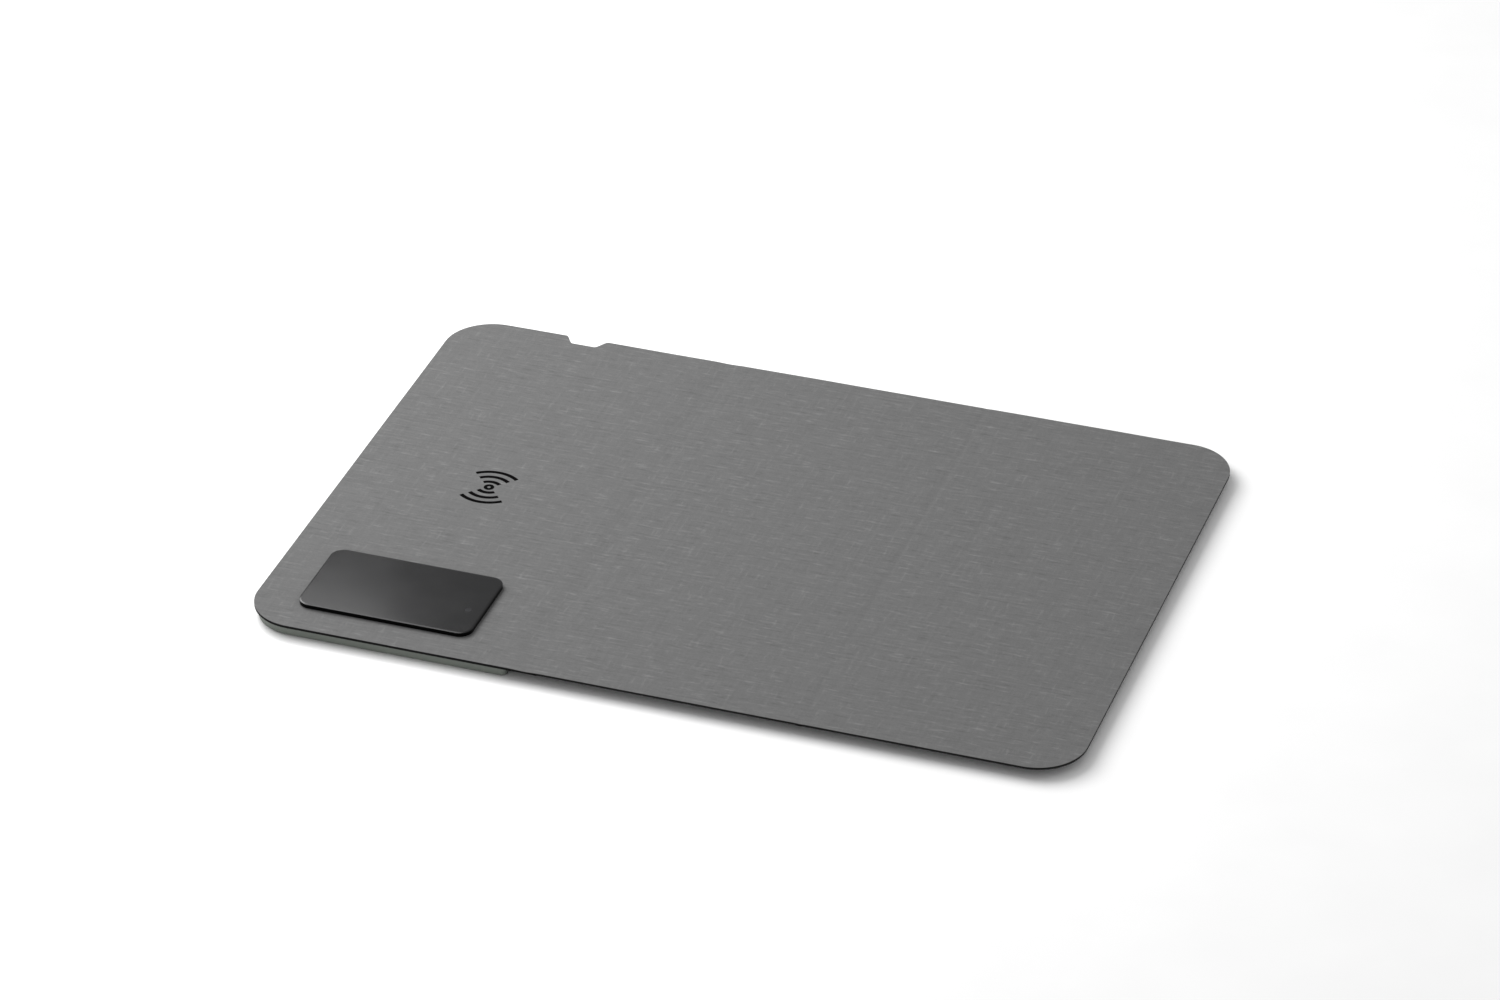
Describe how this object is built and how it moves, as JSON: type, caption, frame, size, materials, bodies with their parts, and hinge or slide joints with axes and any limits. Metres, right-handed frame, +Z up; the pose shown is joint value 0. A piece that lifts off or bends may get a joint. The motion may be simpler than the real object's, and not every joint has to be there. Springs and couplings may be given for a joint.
{
  "type": "folding wireless charging mat",
  "caption": "Fabric desk mat with a flat wireless charger module, a badge plate and a USB-C port, and two thin panels that roll under it.",
  "frame": {"origin": "centre of the open mat's outline, on the surface that the feet stand on", "axes": "+X along the mat's width, from the charger module to the free panel; +Y to the back edge with the port; +Z up, out of the fabric face"},
  "size_m": [0.35, 0.25, 0.0076],
  "materials": {
    "fabric": "melange grey woven polyester with a linen look",
    "lining": "black microfibre lining",
    "board": "black polypropylene stiffener",
    "housing": "fine matte moulded plastic",
    "feet": "matte silicone rubber",
    "screw_steel": "zinc plated",
    "mark": "sunk black transfer",
    "badge": "satin dark grey with a fine bevel",
    "adhesive": "double-sided tape",
    "lens": "smoked clear light pipe",
    "led": "white surface-mount light",
    "flex": "amber polyimide flexible circuit",
    "coil_copper": "served copper litz winding",
    "ferrite": "sintered ferrite",
    "holder": "moulded plastic",
    "lead": "flat insulated lead",
    "circuit_board": "green solder mask",
    "chip": "black moulded package",
    "capacitor": "ceramic",
    "inductor": "moulded iron powder",
    "port_steel": "nickel plated",
    "port_plastic": "black moulding",
    "contact_gold": "gold plated"
  },
  "bodies": {
    "panel_3": {"panel_3_fabric": "fabric", "panel_3_board": "board", "panel_3_lining": "lining"},
    "crease": {"crease_strip": "fabric"},
    "panel_2": {"panel_2_fabric": "fabric", "panel_2_board": "board", "panel_2_lining": "lining"},
    "spine_3": {"spine_strip_3": "fabric"},
    "spine_2": {"spine_strip_2": "fabric"},
    "spine_1": {"spine_strip_1": "fabric"},
    "charger": {"lower_housing": "housing", "housing_lid": "housing", "housing_screws": "screw_steel", "rubber_feet": "feet", "module_board": "board", "module_fabric": "fabric", "charging_mark": "mark", "badge_plate": "badge", "badge_adhesive": "adhesive", "status_lens": "lens", "status_led": "led", "led_flex": "flex", "charging_coil": "coil_copper", "ferrite_sheet": "ferrite", "coil_holder": "holder", "coil_leads": "lead", "thermistor": "chip", "circuit_board": "circuit_board", "controller_chip": "chip", "power_transistors": "chip", "resonant_capacitors": "capacitor", "power_inductor": "inductor", "usb_c_shell": "port_steel", "usb_c_tongue": "port_plastic", "usb_c_contacts": "contact_gold"}
  },
  "joints": [
    {"name": "crease_fold", "type": "hinge", "parent": "panel_3", "child": "panel_2", "pos_m": [0.0635, 0, 0.0034], "axis": [0, -1, 0], "range_deg": [0, 179.8]},
    {"name": "crease_strip_turn", "type": "hinge", "parent": "panel_3", "child": "crease", "pos_m": [0.0645, 0, 0.0044], "axis": [0, -1, 0], "range_deg": [0, 89.9]},
    {"name": "spine_fold", "type": "hinge", "parent": "panel_2", "child": "charger", "pos_m": [-0.05175, 0, 0.0003], "axis": [0, -1, 0], "range_deg": [0, 179.8]},
    {"name": "spine_3_turn", "type": "hinge", "parent": "panel_2", "child": "spine_3", "pos_m": [-0.04665, 0, 0.0044], "axis": [0, -1, 0], "range_deg": [0, 44.95]},
    {"name": "spine_2_turn", "type": "hinge", "parent": "panel_2", "child": "spine_2", "pos_m": [-0.04835, 0, 0.0037], "axis": [0, -1, 0], "range_deg": [0, 89.9]},
    {"name": "spine_1_turn", "type": "hinge", "parent": "panel_2", "child": "spine_1", "pos_m": [-0.05005, 0, 0.00241], "axis": [0, -1, 0], "range_deg": [0, 134.85]}
  ],
  "couplings": [
    {"joint": "crease_strip_turn", "follows": "crease_fold", "ratio": 0.5},
    {"joint": "spine_3_turn", "follows": "spine_fold", "ratio": 0.25},
    {"joint": "spine_2_turn", "follows": "spine_fold", "ratio": 0.5},
    {"joint": "spine_1_turn", "follows": "spine_fold", "ratio": 0.75}
  ]
}
